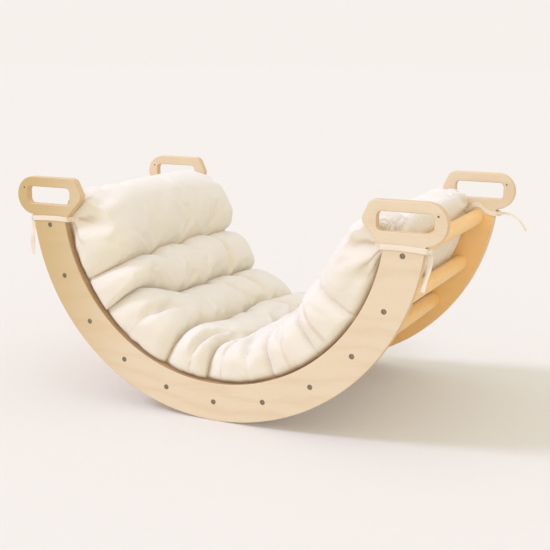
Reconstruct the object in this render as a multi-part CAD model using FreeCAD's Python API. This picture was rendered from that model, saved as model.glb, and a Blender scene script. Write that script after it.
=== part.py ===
"""Wooden arch rocker with a tied-in cushion, for one or two small children.

Two curved plywood side panels stand on their arcs. Round wooden rungs join them, and a
screw through each panel holds each rung's end. Each panel ends in a hand grip with a slot.
A padded cushion lies in the arc, and a cotton tie at each of its corners is knotted round
the narrow neck under a grip.

Millimetres, +Z up. The origin is on the ground, under the middle of the rocker. X runs from
grip to grip, and Y across the rocker. The arcs' common centre is at height ARC_OUTER_R.
"""

import FreeCAD, Part
import math
import os

V = FreeCAD.Vector

# The arc of each side panel.
ARC_OUTER_R = 440.0
ARC_INNER_R = 360.0
ARC_SCREW_R = 400.0
PANEL_THICKNESS = 18.0
OVERALL_WIDTH = 546.0
CLEAR_WIDTH = OVERALL_WIDTH - 2 * PANEL_THICKNESS
EDGE_ROUNDING = 2.0

# The hand grip at each end of a panel: heights are above the arcs' centre.
GRIP_TOP = 40.0
GRIP_BOTTOM = -41.5
GRIP_END_R = (GRIP_TOP - GRIP_BOTTOM) / 2
GRIP_FAR_X = 478.3
GRIP_END_CENTRE_X = GRIP_FAR_X - GRIP_END_R
GRIP_END_STRAIGHT = 0.01
GRIP_SHOULDER_X = 330.0
GRIP_TIP_X = 311.0
GRIP_TIP_ROUNDING = 16.0
NECK_INNER_X = 354.0
NECK_INNER_HEIGHT = -47.0
NECK_CORNERS_LOW = -56.0
NECK_FOOT_SHARE = 0.15
NECK_INNER_ROUNDING = 12.0
NECK_OUTER_ROUNDING = 6.0
SLOT_INNER_X = 343.0
SLOT_LENGTH = 110.0
SLOT_HEIGHT = 36.5
SLOT_MID_HEIGHT = 0.5
SLOT_ROUNDING = 10.0
HANG_HOLE_X = 460.0
HANG_HOLE_HEIGHT = 15.5
HANG_HOLE_R = 2.25

# The rungs, with a screw through the panel into each end.
RUNG_COUNT = 11
RUNG_PITCH_DEG = 16.23
RUNG_R = 17.0
RUNG_EDGE_ROUNDING = 1.5
SCREW_LENGTH = 50.0
SCREW_R = 3.0
SCREW_POINT_LENGTH = 5.0
SCREW_HEAD_R = 5.5
SCREW_HEAD_RIM = 1.2
SCREW_HEAD_CONE = 2.5
SCREW_SOCKET_ACROSS_FLATS = 4.0
SCREW_SOCKET_DEPTH = 2.6
SCREW_CLEARANCE = 0.05
PILOT_EXTRA_DEPTH = 3.0

# The cushion: radii from the arcs' centre, angles from straight down.
CUSHION_OUTER_R = ARC_SCREW_R - RUNG_R - 0.6
CUSHION_INNER_R = 264.0
CUSHION_WIDTH = 496.0
CUSHION_END_DEG = 92.0
CUSHION_ROUNDING = 46.0
COVER_THICKNESS = 1.2
COVER_GAP = 0.3

# The ties, drawn for the front right corner: heights are above the arcs' centre. A tape runs
# from the cushion's corner round the neck to a knot at its outer edge, and ends in a loose tail.
TAPE_THICKNESS = 1.2
TAPE_WIDTH = 11.0
TAPE_GAP = 0.4
TAPE_LOW = -56.0
STRAP_INNER_X = NECK_INNER_X - 2.4
STRAP_OUTER_X = ARC_OUTER_R - 0.5
HUMP_CLEARANCE = 1.0
HUMP_START_DEG = 30.0
LEAD_START_X = 318.0
LEAD_PATCH = 12.0
LEAD_Y = -CUSHION_WIDTH / 2 - COVER_GAP
KNOT_START_X = ARC_OUTER_R + 1.0
KNOT_Y = -264.0
KNOT_TOP = -44.0
KNOT_LENGTH = 9.0
KNOT_HEIGHT = 14.0
KNOT_WIDTH = 13.0
KNOT_ROUNDING = 3.0
TAIL_TUBE_R = 2.5
TAIL_ARC_SHARE = 0.45

# Where each tail leaves its knot: out from the knot's inner face, and up from its top.
LEAVES_BELOW = (4.5, -KNOT_HEIGHT)
LEAVES_OUTWARDS = (KNOT_LENGTH, -6.5)
TAIL_STARTS = {
    "front_left": LEAVES_BELOW,
    "front_right": LEAVES_BELOW,
    "rear_left": LEAVES_BELOW,
    "rear_right": LEAVES_OUTWARDS,
}

# Each tail's route from there, as (out along X, up, out along Y).
TAIL_ROUTES = {
    "front_left": [(0, 0, 0), (0, -15, 0), (4, -34, 2), (3, -54, 2), (5, -74, 0)],
    "front_right": [(0, 0, 0), (0, -15, 0), (-3, -33, 3), (-8, -50, 4), (-11, -68, 7)],
    "rear_left": [(0, 0, 0), (0, -15, 0), (5, -34, -1), (4, -54, 2), (7, -74, 2)],
    "rear_right": [(0, 0, 0), (14, 0, 0), (30, -6, 1), (46, -18, 1), (57, -36, 0)],
}

# An edge that spans less than this along Y lies on one flat face.
FLAT = 0.01

SIDES = {"front": -1, "rear": 1}
ENDS = {"left": -1, "right": 1}


def fillet_wire(points, radii):
    """A closed wire in the XZ plane through points, with each corner rounded by its radius.

    A radius of zero leaves the corner sharp.
    """
    starts, ends, middles = [], [], []
    count = len(points)
    for i, (corner, radius) in enumerate(zip(points, radii)):
        back = (points[i - 1] - corner).normalize()
        ahead = (points[(i + 1) % count] - corner).normalize()
        half = back.getAngle(ahead) / 2
        cut = radius / math.tan(half)
        bisector = (back + ahead).normalize()
        centre = corner + bisector * (radius / math.sin(half))
        starts.append(corner + back * cut)
        ends.append(corner + ahead * cut)
        middles.append(centre - bisector * radius)
    edges = []
    for i in range(count):
        if radii[i] > 0:
            edges.append(Part.Arc(starts[i], middles[i], ends[i]).toShape())
        edges.append(Part.LineSegment(ends[i], starts[(i + 1) % count]).toShape())
    return Part.Wire(edges)


def plate(wire, y_low, thickness):
    """A flat plate from a closed wire in the XZ plane at y = 0."""
    return Part.Face(wire).translated(V(0, y_low, 0)).extrude(V(0, thickness, 0))


def bar_y(radius, length, x, z, y_low):
    """A round bar along Y."""
    return Part.makeCylinder(radius, length, V(x, y_low, z), V(0, 1, 0))


def rung_angles():
    """The rungs' angles from straight down, in degrees, left end first."""
    middle = (RUNG_COUNT - 1) / 2
    return [(i - middle) * RUNG_PITCH_DEG for i in range(RUNG_COUNT)]


def on_arc(radius, degrees):
    """The X and Z of a point at an angle from straight down."""
    angle = math.radians(degrees)
    return radius * math.sin(angle), ARC_OUTER_R - radius * math.cos(angle)


def arc_band(y_low):
    """The half ring of a side panel, up to the grips' undersides."""
    ring = bar_y(ARC_OUTER_R, PANEL_THICKNESS, 0, ARC_OUTER_R, y_low)
    ring = ring.cut(bar_y(ARC_INNER_R, PANEL_THICKNESS, 0, ARC_OUTER_R, y_low))
    height = ARC_OUTER_R + GRIP_BOTTOM
    low_corner = V(-ARC_OUTER_R, y_low, 0)
    return ring.common(Part.makeBox(2 * ARC_OUTER_R, PANEL_THICKNESS, height, low_corner))


def grip_outline():
    """The right grip's outline: a pointed inner end, a round outer end and a foot in the arc."""
    centre = V(0, 0, ARC_OUTER_R)
    tip = V(GRIP_TIP_X, 0, 0)
    neck = V(NECK_INNER_X, 0, NECK_INNER_HEIGHT)
    foot = neck + (neck - tip) * NECK_FOOT_SHARE
    corners = [
        V(GRIP_SHOULDER_X, 0, GRIP_TOP),
        V(GRIP_FAR_X, 0, GRIP_TOP),
        V(GRIP_FAR_X, 0, GRIP_BOTTOM),
        V(ARC_SCREW_R, 0, GRIP_BOTTOM),
        V(ARC_SCREW_R, 0, foot.z),
        foot,
        tip,
    ]
    round_end = GRIP_END_R - GRIP_END_STRAIGHT
    radii = [GRIP_TIP_ROUNDING, round_end, round_end, 0, 0, 0, GRIP_TIP_ROUNDING]
    return fillet_wire([centre + corner for corner in corners], radii)


def slot_outline():
    """The right grip's finger slot."""
    low = ARC_OUTER_R + SLOT_MID_HEIGHT - SLOT_HEIGHT / 2
    high = low + SLOT_HEIGHT
    outer = SLOT_INNER_X + SLOT_LENGTH
    corners = [V(SLOT_INNER_X, 0, low), V(outer, 0, low), V(outer, 0, high), V(SLOT_INNER_X, 0, high)]
    return fillet_wire(corners, [SLOT_ROUNDING] * 4)


def mirrored(shape):
    """The same shape on the other side of the middle, X reversed."""
    return shape.mirror(V(0, 0, 0), V(1, 0, 0))


def seat_of_screw(x, z, outer_face, inwards):
    """The countersunk clearance hole that a screw passes through in a panel."""
    clear = SCREW_CLEARANCE
    along = V(0, inwards, 0)
    start = V(x, outer_face, z)
    hole = Part.makeCylinder(SCREW_R + clear, PANEL_THICKNESS, start, along)
    rim = Part.makeCylinder(SCREW_HEAD_R + clear, SCREW_HEAD_RIM, start, along)
    cone_start = start + along * SCREW_HEAD_RIM
    cone = Part.makeCone(SCREW_HEAD_R + clear, SCREW_R + clear, SCREW_HEAD_CONE, cone_start, along)
    return hole.fuse(rim).fuse(cone)


def side_panel(side):
    """One curved side panel with its two grips, screw seats and rounded edges."""
    outer_face = side * OVERALL_WIDTH / 2
    y_low = min(outer_face, outer_face - side * PANEL_THICKNESS)
    grip = plate(grip_outline(), y_low, PANEL_THICKNESS).fuse(neck_web(y_low))
    body = arc_band(y_low).fuse(grip).fuse(mirrored(grip)).removeSplitter()
    body = round_inner_neck(body)
    slot = plate(slot_outline(), y_low, PANEL_THICKNESS)
    hole = bar_y(HANG_HOLE_R, PANEL_THICKNESS, HANG_HOLE_X, ARC_OUTER_R + HANG_HOLE_HEIGHT, y_low)
    for cutter in (slot, hole):
        body = body.cut(cutter).cut(mirrored(cutter))
    body = round_face_edges(body)
    for degrees in rung_angles():
        x, z = on_arc(ARC_SCREW_R, degrees)
        body = body.cut(seat_of_screw(x, z, outer_face, -side))
    return body


def neck_web(y_low):
    """The small web that rounds the right neck's outer corner, where the grip meets the arc.

    Its round is a circle that touches the arc's outside and the grip's round end.
    """
    arc_centre = V(0, 0, ARC_OUTER_R)
    grip_centre = V(GRIP_END_CENTRE_X, 0, ARC_OUTER_R + GRIP_TOP - GRIP_END_R)
    span = grip_centre - arc_centre
    to_arc = ARC_OUTER_R + NECK_OUTER_ROUNDING
    to_grip = GRIP_END_R + NECK_OUTER_ROUNDING
    along = (to_arc**2 - to_grip**2 + span.Length**2) / (2 * span.Length)
    aside = math.sqrt(to_arc**2 - along**2)
    unit = V(span).normalize()
    centre = arc_centre + unit * along + V(0, 1, 0).cross(unit) * aside
    touch_arc = arc_centre + (centre - arc_centre) * (ARC_OUTER_R / to_arc)
    touch_grip = grip_centre + (centre - grip_centre) * (GRIP_END_R / to_grip)
    inside = V(ARC_SCREW_R, 0, touch_arc.z)
    inside_grip = V(ARC_SCREW_R, 0, touch_grip.z)
    wire = Part.makePolygon([touch_arc, centre, touch_grip, inside_grip, inside, touch_arc])
    round_cutter = bar_y(NECK_OUTER_ROUNDING, PANEL_THICKNESS, centre.x, centre.z, y_low)
    return plate(wire, y_low, PANEL_THICKNESS).cut(round_cutter)


def round_inner_neck(body):
    """Rounds the inside corners where the arc's inner edge meets the grips."""
    corners = []
    for edge in body.Edges:
        box = edge.BoundBox
        height = box.Center.z - ARC_OUTER_R
        across = box.YLength > PANEL_THICKNESS - 1
        in_neck = NECK_CORNERS_LOW < height < NECK_INNER_HEIGHT
        if across and in_neck and abs(box.Center.x) < ARC_SCREW_R:
            corners.append(edge)
    return body.makeFillet(NECK_INNER_ROUNDING, corners)


def round_face_edges(body):
    """Eases every edge of both flat faces, the slots' edges included and the small holes' not."""
    edges = []
    for edge in body.Edges:
        on_face = edge.BoundBox.YLength < FLAT
        of_hang_hole = edge.Length < 2 * math.pi * HANG_HOLE_R + FLAT and edge.Closed
        if on_face and not of_hang_hole:
            edges.append(edge)
    return body.makeFillet(EDGE_ROUNDING, edges)


def rung(degrees):
    """One round wooden rung between the panels, with a pilot hole in each end."""
    x, z = on_arc(ARC_SCREW_R, degrees)
    half = CLEAR_WIDTH / 2
    body = bar_y(RUNG_R, CLEAR_WIDTH, x, z, -half)
    rims = [edge for edge in body.Edges if edge.BoundBox.YLength < FLAT]
    body = body.makeFillet(RUNG_EDGE_ROUNDING, rims)
    depth = SCREW_LENGTH - PANEL_THICKNESS + PILOT_EXTRA_DEPTH
    for y_low in (-half, half - depth):
        body = body.cut(bar_y(SCREW_R + SCREW_CLEARANCE, depth, x, z, y_low))
    return body


def hexagon_socket(start, along):
    """The hexagonal socket of a screw's head."""
    corner_r = SCREW_SOCKET_ACROSS_FLATS / math.sqrt(3)
    corners = []
    for i in range(7):
        angle = math.radians(60 * i)
        corners.append(start + V(corner_r * math.cos(angle), 0, corner_r * math.sin(angle)))
    return Part.Face(Part.makePolygon(corners)).extrude(along * SCREW_SOCKET_DEPTH)


def screw(x, z, outer_face, inwards):
    """A countersunk furniture screw with a hexagonal socket, its head flush with the panel."""
    along = V(0, inwards, 0)
    start = V(x, outer_face, z)
    body = Part.makeCylinder(SCREW_HEAD_R, SCREW_HEAD_RIM, start, along)
    cone_start = start + along * SCREW_HEAD_RIM
    body = body.fuse(Part.makeCone(SCREW_HEAD_R, SCREW_R, SCREW_HEAD_CONE, cone_start, along))
    shank_length = SCREW_LENGTH - SCREW_POINT_LENGTH
    body = body.fuse(Part.makeCylinder(SCREW_R, shank_length, start, along))
    point_start = start + along * shank_length
    body = body.fuse(Part.makeCone(SCREW_R, SCREW_R / 3, SCREW_POINT_LENGTH, point_start, along))
    return body.removeSplitter().cut(hexagon_socket(start, along))


def screws(side):
    """All the screws of one panel, as separate solids in one group."""
    outer_face = side * OVERALL_WIDTH / 2
    places = [on_arc(ARC_SCREW_R, degrees) for degrees in rung_angles()]
    return Part.Compound([screw(x, z, outer_face, -side) for x, z in places])


def cushion_body(inset):
    """The cushion's outer form, made smaller all round by an inset: a thick curved pad."""
    inner_r = CUSHION_INNER_R + inset
    outer_r = CUSHION_OUTER_R - inset
    half_width = CUSHION_WIDTH / 2 - inset
    section = Part.makePolygon(
        [
            V(0, -half_width, ARC_OUTER_R - outer_r),
            V(0, half_width, ARC_OUTER_R - outer_r),
            V(0, half_width, ARC_OUTER_R - inner_r),
            V(0, -half_width, ARC_OUTER_R - inner_r),
            V(0, -half_width, ARC_OUTER_R - outer_r),
        ]
    )
    end_deg = CUSHION_END_DEG - math.degrees(inset / outer_r)
    centre = V(0, 0, ARC_OUTER_R)
    face = Part.Face(section).rotated(centre, V(0, 1, 0), end_deg)
    body = face.revolve(centre, V(0, 1, 0), -2 * end_deg)
    return body.makeFillet(CUSHION_ROUNDING - inset, body.Edges)


def cushion_cover():
    """The cushion's cotton cover: a closed skin around the filling."""
    return cushion_body(0).cut(cushion_body(COVER_THICKNESS))


def cushion_filling():
    """The soft filling inside the cover."""
    return cushion_body(COVER_THICKNESS + COVER_GAP)


def box_between(low, high):
    """A box from its lowest to its highest corner."""
    return Part.makeBox(high.x - low.x, high.y - low.y, high.z - low.z, low)


def tie_strap():
    """The tape of the front right corner, in the grip's own heights.

    It runs from the cushion's corner round the neck. On the inside it passes over the top rung.
    """
    low, high = TAPE_LOW, TAPE_LOW + TAPE_WIDTH
    inner, outer = STRAP_INNER_X, STRAP_OUTER_X
    tape = TAPE_THICKNESS
    front = -OVERALL_WIDTH / 2 - TAPE_GAP
    back = -CLEAR_WIDTH / 2 + TAPE_GAP
    legs = [
        box_between(V(inner - tape, front - tape, low), V(outer + tape, front, high)),
        box_between(V(inner - tape, front - tape, low), V(inner, back + tape, high)),
        box_between(V(outer, front - tape, low), V(outer + tape, back + tape, high)),
        box_between(V(LEAD_START_X, back, low), V(inner, back + tape, high)),
        box_between(V(LEAD_START_X, back, low), V(LEAD_START_X + LEAD_PATCH, LEAD_Y, high)),
    ]
    rung_x, rung_z = on_arc(ARC_SCREW_R, rung_angles()[-1])
    rung_height = rung_z - ARC_OUTER_R
    hump_r = RUNG_R + HUMP_CLEARANCE
    side_x = hump_r * math.cos(math.radians(HUMP_START_DEG))
    side_z = rung_height + hump_r * math.sin(math.radians(HUMP_START_DEG))
    lower = [V(outer + tape, back, low), V(rung_x + side_x, back, side_z)]
    lower += [V(rung_x - side_x, back, side_z), V(inner - tape, back, low)]
    crest = V(rung_x, back, rung_height + hump_r)
    lift = V(0, 0, TAPE_WIDTH)
    edges = [
        Part.LineSegment(lower[0], lower[1]).toShape(),
        Part.Arc(lower[1], crest, lower[2]).toShape(),
        Part.LineSegment(lower[2], lower[3]).toShape(),
        Part.LineSegment(lower[3], lower[3] + lift).toShape(),
        Part.LineSegment(lower[3] + lift, lower[2] + lift).toShape(),
        Part.Arc(lower[2] + lift, crest + lift, lower[1] + lift).toShape(),
        Part.LineSegment(lower[1] + lift, lower[0] + lift).toShape(),
        Part.LineSegment(lower[0] + lift, lower[0]).toShape(),
    ]
    body = Part.Face(Part.Wire(edges)).extrude(V(0, tape, 0))
    for leg in legs:
        body = body.fuse(leg)
    return body.removeSplitter().translated(V(0, 0, ARC_OUTER_R))


def tie_knot():
    """The knot of the front right corner, at the neck's outer edge."""
    low = V(KNOT_START_X, KNOT_Y - KNOT_WIDTH / 2, ARC_OUTER_R + KNOT_TOP - KNOT_HEIGHT)
    high = V(KNOT_START_X + KNOT_LENGTH, KNOT_Y + KNOT_WIDTH / 2, ARC_OUTER_R + KNOT_TOP)
    knot = box_between(low, high)
    return knot.makeFillet(KNOT_ROUNDING, knot.Edges)


def placed(shape, side, end):
    """A front right shape mirrored to another corner."""
    if end < 0:
        shape = mirrored(shape)
    if side > 0:
        shape = shape.mirror(V(0, 0, 0), V(0, 1, 0))
    return shape


def tail_points(name, side, end):
    """A tail's route in the part's own frame: it starts on its knot's face."""
    start = TAIL_STARTS[name]
    points = []
    for out, up, aside in TAIL_ROUTES[name]:
        x = KNOT_START_X + start[0] + out
        y = -KNOT_Y + aside
        z = ARC_OUTER_R + KNOT_TOP + start[1] + up
        points.append(V(end * x, side * y, z))
    return points


def tail_tube(name, side, end):
    """A loose tail's plain tube: straight runs joined by tangent arcs as wide as they allow."""
    points = tail_points(name, side, end)
    runs = [points[i + 1] - points[i] for i in range(len(points) - 1)]
    edges, radii = [], []
    start = points[0]
    for i in range(len(runs) - 1):
        corner = points[i + 1]
        turn = runs[i].getAngle(runs[i + 1])
        cut = TAIL_ARC_SHARE * min(runs[i].Length, runs[i + 1].Length)
        radius = cut / math.tan(turn / 2)
        back = V(runs[i]).normalize() * -1
        ahead = V(runs[i + 1]).normalize()
        bisector = (back + ahead).normalize()
        middle = corner + bisector * (radius / math.cos(turn / 2) - radius)
        edges.append(Part.LineSegment(start, corner + back * cut).toShape())
        edges.append(Part.Arc(corner + back * cut, middle, corner + ahead * cut).toShape())
        start = corner + ahead * cut
        radii.append(round(radius))
    edges.append(Part.LineSegment(start, points[-1]).toShape())
    path = Part.Wire(edges)
    circle = Part.Circle(points[0], runs[0], TAIL_TUBE_R).toShape()
    tube = path.makePipeShell([Part.Wire(circle)], True, False)
    expected = math.pi * TAIL_TUBE_R**2 * path.Length
    share = tube.Volume / expected
    print(f"tail {name}: length {path.Length:.1f} mm, arc radii {radii} mm")
    print(f"tail {name}: volume is {share:.3f} of section times length")
    return tube


def export(name, shape):
    """Writes one node's STEP file."""
    if not shape.isValid():
        raise ValueError(f"{name} is not a valid shape")
    shape.exportStep(f"parts/{name}.step")
    print(f"{name}: {len(shape.Solids)} solid(s), {shape.Volume / 1000:.1f} cm3")


def main():
    """Builds every node and writes its file."""
    os.makedirs("parts", exist_ok=True)
    for name, side in SIDES.items():
        export(f"side_panel_{name}", side_panel(side))
        export(f"screws_{name}", screws(side))
    for number, degrees in enumerate(rung_angles(), start=1):
        export(f"rung_{number:02d}", rung(degrees))
    export("cushion_cover", cushion_cover())
    export("cushion_filling", cushion_filling())
    for side_name, side in SIDES.items():
        for end_name, end in ENDS.items():
            corner = f"{side_name}_{end_name}"
            export(f"tie_strap_{corner}", placed(tie_strap(), side, end))
            export(f"tie_knot_{corner}", placed(tie_knot(), side, end))
            export(f"tie_tail_{corner}", tail_tube(corner, side, end))


main()
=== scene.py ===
"""Looks of a wooden arch rocker with its tied-on quilted cushion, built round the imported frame.

Everything is in metres. X runs along the arches, Y across the seat and Z up from the floor.
"""

import logging
import math
from dataclasses import dataclass
from enum import Enum
from typing import Any, Sequence

import bmesh
import bpy
import numpy as np
from mathutils import Matrix, Vector, noise


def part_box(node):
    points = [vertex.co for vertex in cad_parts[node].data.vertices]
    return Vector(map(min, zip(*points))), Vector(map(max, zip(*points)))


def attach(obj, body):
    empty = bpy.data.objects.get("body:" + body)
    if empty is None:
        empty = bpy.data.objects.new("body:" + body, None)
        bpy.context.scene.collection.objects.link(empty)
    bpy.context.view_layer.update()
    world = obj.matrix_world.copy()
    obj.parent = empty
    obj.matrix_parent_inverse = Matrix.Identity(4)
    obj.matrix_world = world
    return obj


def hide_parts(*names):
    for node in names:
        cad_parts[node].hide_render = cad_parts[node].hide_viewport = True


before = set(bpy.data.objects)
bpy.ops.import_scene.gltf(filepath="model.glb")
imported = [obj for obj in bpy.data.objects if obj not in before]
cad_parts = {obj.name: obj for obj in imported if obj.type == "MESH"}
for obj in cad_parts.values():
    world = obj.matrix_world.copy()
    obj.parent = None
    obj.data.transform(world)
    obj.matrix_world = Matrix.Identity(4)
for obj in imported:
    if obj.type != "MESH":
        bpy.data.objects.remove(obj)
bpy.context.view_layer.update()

ARC_CENTRE_HEIGHT = 0.440
ARC_INNER_RADIUS = 0.360
PANEL_INNER_FACE = 0.255
FULL_TURN = 2 * math.pi
TINY = 1e-9
LAMP_DISTANCE = 4.0
# Past this place on the blank, from -1 to 1, a vertex of the cushion is on an outer face.
OUTER = 0.999

log = logging.getLogger("arch rocker")

Colour = tuple[float, float, float]
Point = tuple[float, float, float]


class Side(Enum):
    """The arch that a piece is next to, with its sign along Y."""

    FRONT = -1
    REAR = 1


class End(Enum):
    """The end of the arch that a piece is at, with its sign along X."""

    LEFT = -1
    RIGHT = 1


class Maths:
    """A shader socket that takes part in sums: a formula on it adds its own Math nodes."""

    def __init__(self, recipe: "Recipe", socket: bpy.types.NodeSocket) -> None:
        """Wraps a socket.

        Args:
            recipe: The material that the socket belongs to.
            socket: The output socket.
        """
        self.recipe = recipe
        self.socket = socket

    def _node(self, operation: str, *values: "Maths | float") -> "Maths":
        """Adds one Math node.

        Args:
            operation: The node's operation.
            values: Its inputs in order.

        Returns:
            The node's result.
        """
        node = self.recipe.add(
            "ShaderNodeMath", {"operation": operation}, dict(enumerate(values))
        )
        return Maths(self.recipe, node.outputs[0])

    def __add__(self, other: "Maths | float") -> "Maths":
        """Sum."""
        return self._node("ADD", self, other)

    def __radd__(self, other: float) -> "Maths":
        """Sum with a number in front."""
        return self._node("ADD", other, self)

    def __sub__(self, other: "Maths | float") -> "Maths":
        """Difference."""
        return self._node("SUBTRACT", self, other)

    def __rsub__(self, other: float) -> "Maths":
        """Difference from a number."""
        return self._node("SUBTRACT", other, self)

    def __mul__(self, other: "Maths | float") -> "Maths":
        """Product."""
        return self._node("MULTIPLY", self, other)

    def __rmul__(self, other: float) -> "Maths":
        """Product with a number in front."""
        return self._node("MULTIPLY", other, self)

    def __truediv__(self, other: "Maths | float") -> "Maths":
        """Quotient."""
        return self._node("DIVIDE", self, other)

    def __pow__(self, other: float) -> "Maths":
        """Power."""
        return self._node("POWER", self, other)

    def size(self) -> "Maths":
        """The value without its sign."""
        return self._node("ABSOLUTE", self)

    def sine(self) -> "Maths":
        """The sine of an angle in radians."""
        return self._node("SINE", self)

    def wave(self) -> "Maths":
        """The sine of an angle in radians, brought to run from 0 to 1."""
        return self.sine() * 0.5 + 0.5

    def eased(self, low: float, high: float) -> "Maths":
        """A soft step from 0 at low to 1 at high.

        Args:
            low: The value that gives 0.
            high: The value that gives 1.

        Returns:
            The stepped value.
        """
        node = self.recipe.add(
            "ShaderNodeMapRange",
            {"interpolation_type": "SMOOTHSTEP", "clamp": True},
            {0: self, 1: low, 2: high, 3: 0.0, 4: 1.0},
        )
        return Maths(self.recipe, node.outputs[0])


class Recipe:
    """One material's nodes, ending in a Principled shader."""

    def __init__(self, name: str) -> None:
        """Starts an empty material.

        Args:
            name: The material's name.
        """
        self.material = bpy.data.materials.new(name)
        self.material.use_nodes = True
        self.tree = self.material.node_tree
        self.tree.nodes.clear()

    def add(
        self,
        kind: str,
        settings: dict[str, Any] | None = None,
        sockets: dict[int | str, Any] | None = None,
    ) -> bpy.types.Node:
        """Adds a node: its settings first, then its sockets.

        Args:
            kind: The node's type.
            settings: Its own properties. "stops" holds a ramp's positions and colours.
            sockets: A value or a link for each named or numbered input.

        Returns:
            The node.
        """
        node = self.tree.nodes.new(kind)
        for key, value in (settings or {}).items():
            if key != "stops":
                setattr(node, key, value)
                continue
            steps = node.color_ramp.elements
            while len(steps) < len(value):
                steps.new(0.5)
            for step, (place, colour) in zip(steps, value):
                step.position = place
                step.color = (*colour, 1.0)
        for key, value in (sockets or {}).items():
            socket = node.inputs[key]
            if isinstance(value, Maths):
                self.tree.links.new(value.socket, socket)
            elif isinstance(value, tuple) and len(value) == 3 and socket.type == "RGBA":
                socket.default_value = (*value, 1.0)
            else:
                socket.default_value = value
        return node

    def out(self, node: bpy.types.Node, output: int | str = 0) -> Maths:
        """A node's output as a value for formulas."""
        return Maths(self, node.outputs[output])

    def place(self) -> Maths:
        """The point on the piece, in metres."""
        return self.out(self.add("ShaderNodeTexCoord"), "Object")

    def facing(self) -> Maths:
        """The surface's own direction."""
        return self.out(self.add("ShaderNodeNewGeometry"), "Normal")

    def carried(self, name: str, output: str) -> Maths:
        """An attribute that the piece's mesh carries."""
        node = self.add("ShaderNodeAttribute", {"attribute_name": name})
        return self.out(node, output)

    def parts(self, vector: Maths) -> tuple[Maths, Maths, Maths]:
        """The three parts of a vector."""
        node = self.add("ShaderNodeSeparateXYZ", None, {0: vector})
        return self.out(node, 0), self.out(node, 1), self.out(node, 2)

    def joined(self, x: Any, y: Any, z: Any) -> Maths:
        """A vector from three parts."""
        return self.out(self.add("ShaderNodeCombineXYZ", None, {0: x, 1: y, 2: z}))

    def stretched(self, spot: Sequence[Maths], *rates: float) -> Maths:
        """A point with each of its parts multiplied by its own rate."""
        return self.joined(*(part * rate for part, rate in zip(spot, rates)))

    def arc_radius(self, x: Maths, z: Maths) -> Maths:
        """How far a point is from the arcs' axis, seen from the side."""
        height = z - ARC_CENTRE_HEIGHT
        return (x * x + height * height) ** 0.5

    def cloud(
        self, vector: Maths, scale: float, detail: float = 3.0, roughness: float = 0.5
    ) -> Maths:
        """A soft random value from 0 to 1.

        Args:
            vector: Where it is read.
            scale: Its features per metre.
            detail: How many finer layers it has.
            roughness: How strong those layers are.

        Returns:
            The value.
        """
        node = self.add(
            "ShaderNodeTexNoise",
            {"noise_dimensions": "3D"},
            {"Vector": vector, "Scale": scale, "Detail": detail, "Roughness": roughness},
        )
        return self.out(node)

    def ramp(self, value: Maths, stops: Sequence[tuple[float, Colour]]) -> Maths:
        """A colour for each value.

        Args:
            value: The value from 0 to 1.
            stops: Positions and their colours.

        Returns:
            The colour.
        """
        return self.out(self.add("ShaderNodeValToRGB", {"stops": list(stops)}, {0: value}))

    def blend(self, share: Maths | float, first: Any, second: Any) -> Maths:
        """Two colours mixed.

        Args:
            share: How much of the second colour shows.
            first: The first colour.
            second: The second colour.

        Returns:
            The mixed colour.
        """
        node = self.add(
            "ShaderNodeMix", {"data_type": "RGBA"}, {0: share, 6: first, 7: second}
        )
        return self.out(node, 2)

    def relief(
        self, height: Maths, depth: float, strength: float = 1.0, over: Maths | None = None
    ) -> Maths:
        """A raised pattern.

        Args:
            height: The pattern from 0 to 1.
            depth: Its height in metres.
            strength: How strongly it shows.
            over: The relief that it lies on.

        Returns:
            The bent surface direction.
        """
        sockets: dict[int | str, Any] = {
            "Height": height,
            "Distance": depth,
            "Strength": strength,
        }
        if over is not None:
            sockets["Normal"] = over
        return self.out(self.add("ShaderNodeBump", None, sockets))

    def finish(self, **sockets: Any) -> bpy.types.Material:
        """Ends the material in a Principled shader.

        Args:
            sockets: The shader's inputs, with underscores for spaces.

        Returns:
            The material.
        """
        named = {key.replace("_", " "): value for key, value in sockets.items()}
        shader = self.add("ShaderNodeBsdfPrincipled", None, named)
        output = self.add("ShaderNodeOutputMaterial")
        self.tree.links.new(shader.outputs[0], output.inputs[0])
        return self.material


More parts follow.
